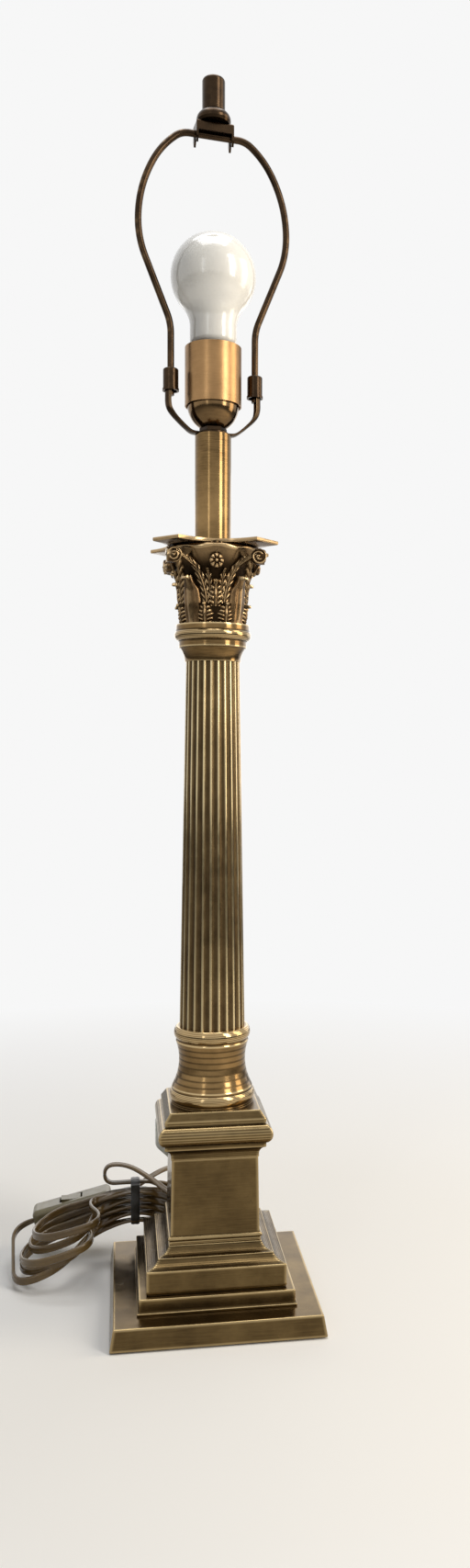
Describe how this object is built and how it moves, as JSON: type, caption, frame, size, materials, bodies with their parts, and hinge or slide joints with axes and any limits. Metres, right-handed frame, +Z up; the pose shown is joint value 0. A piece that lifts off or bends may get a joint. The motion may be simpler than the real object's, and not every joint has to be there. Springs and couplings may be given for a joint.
{
  "type": "column table lamp",
  "caption": "Tall table lamp: square stepped base, fluted column with a leaf capital, harp over a screw-in bulb, flat lead with inline switch and plug",
  "frame": {"origin": "centre of the underside of the felt on the base", "axes": "+Z up the lamp's axis, -Y the front, +Y the back where the lead leaves"},
  "size_m": [0.2248, 0.2014, 0.8687],
  "materials": {
    "satin_brass": "satin antique brass, bright at the arrises",
    "polished_brass": "polished antique brass with dark lacquer",
    "cast_brass": "cast antique brass, dark in the hollows",
    "dark_bronze": "dark bronze lacquer",
    "holder_brass": "satin gold lacquered brass",
    "contact_brass": "bare brass",
    "zinc_steel": "zinc plated steel",
    "iron": "rough cast iron",
    "felt": "wool felt",
    "black_plastic": "phenolic moulding",
    "gold_pvc": "translucent gold PVC",
    "black_tie": "soft black plastic over wire",
    "clear_pvc": "milky translucent PVC",
    "opal_glass": "opal glass",
    "clear_glass": "clear glass",
    "black_glass": "black glass",
    "filament_wire": "drawn wire"
  },
  "bodies": {
    "root": {"felt_pad": "felt", "base_plate": "satin_brass", "base_weight": "iron", "lower_step": "satin_brass", "plinth_block": "satin_brass", "pedestal_die": "satin_brass", "pedestal_cap": "satin_brass", "column_base": "polished_brass", "fluted_column": "polished_brass", "capital_collar": "polished_brass", "capital": "cast_brass", "abacus_plate": "cast_brass", "neck_tube": "polished_brass", "threaded_rod": "zinc_steel", "rod_spacers": "zinc_steel", "base_washer": "zinc_steel", "base_nut": "zinc_steel", "harp_saddle": "dark_bronze", "saddle_locknut": "dark_bronze", "socket_cup": "holder_brass", "socket_sleeve": "holder_brass", "socket_insulator": "black_plastic", "socket_liner": "black_plastic", "screw_shell": "contact_brass", "centre_contact": "contact_brass", "terminal_blocks": "contact_brass", "terminal_screws": "zinc_steel", "inner_wires": "gold_pvc", "inner_cord": "gold_pvc", "cord_bush": "gold_pvc", "cord_lead": "gold_pvc", "cord_hank": "gold_pvc", "cord_tail": "gold_pvc", "cord_tie": "black_tie", "switch_bottom": "gold_pvc", "switch_top": "gold_pvc", "switch_screws": "zinc_steel", "switch_contacts": "contact_brass", "plug_body": "clear_pvc", "plug_pins": "contact_brass"},
    "bulb_thread": {"bulb_tip": "contact_brass"},
    "bulb": {"bulb_glass": "opal_glass", "bulb_cap": "zinc_steel", "bulb_vitrite": "black_glass", "bulb_stem": "clear_glass", "bulb_filament": "filament_wire"},
    "harp": {"harp_wire": "dark_bronze", "harp_bracket": "dark_bronze", "harp_stud": "dark_bronze", "cup_washer": "dark_bronze"},
    "left_ferrule": {"ferrule_left": "dark_bronze"},
    "right_ferrule": {"ferrule_right": "dark_bronze"},
    "finial_thread": {"finial_insert": "contact_brass"},
    "finial": {"finial": "dark_bronze"},
    "rocker": {"switch_rocker": "gold_pvc"}
  },
  "joints": [
    {"name": "bulb_lift", "type": "slide", "parent": "root", "child": "bulb_thread", "axis": [0, 0, 1], "range_m": [0, 0.0218]},
    {"name": "bulb_turn", "type": "hinge", "parent": "bulb_thread", "child": "bulb", "pos_m": [0, 0, 0.66], "axis": [0, 0, 1], "range_deg": [0, 2160]},
    {"name": "harp_lift", "type": "slide", "parent": "root", "child": "harp", "axis": [0, 0, 1], "range_m": [0, 0.018]},
    {"name": "left_ferrule_slide", "type": "slide", "parent": "harp", "child": "left_ferrule", "axis": [0, 0, 1], "range_m": [0, 0.015]},
    {"name": "right_ferrule_slide", "type": "slide", "parent": "harp", "child": "right_ferrule", "axis": [0, 0, 1], "range_m": [0, 0.015]},
    {"name": "finial_lift", "type": "slide", "parent": "harp", "child": "finial_thread", "axis": [0, 0, 1], "range_m": [0, 0.0095]},
    {"name": "finial_turn", "type": "hinge", "parent": "finial_thread", "child": "finial", "pos_m": [0, 0, 0.85], "axis": [0, 0, 1], "range_deg": [0, 3600]},
    {"name": "rocker_swing", "type": "hinge", "parent": "root", "child": "rocker", "pos_m": [-0.1034, 0.092, 0.04153], "axis": [0, -1, 0], "range_deg": [0, 14]}
  ],
  "couplings": [
    {"joint": "bulb_lift", "follows": "bulb_turn", "m_per_rad": 0.00057757},
    {"joint": "finial_lift", "follows": "finial_turn", "m_per_rad": 0.00014961}
  ]
}
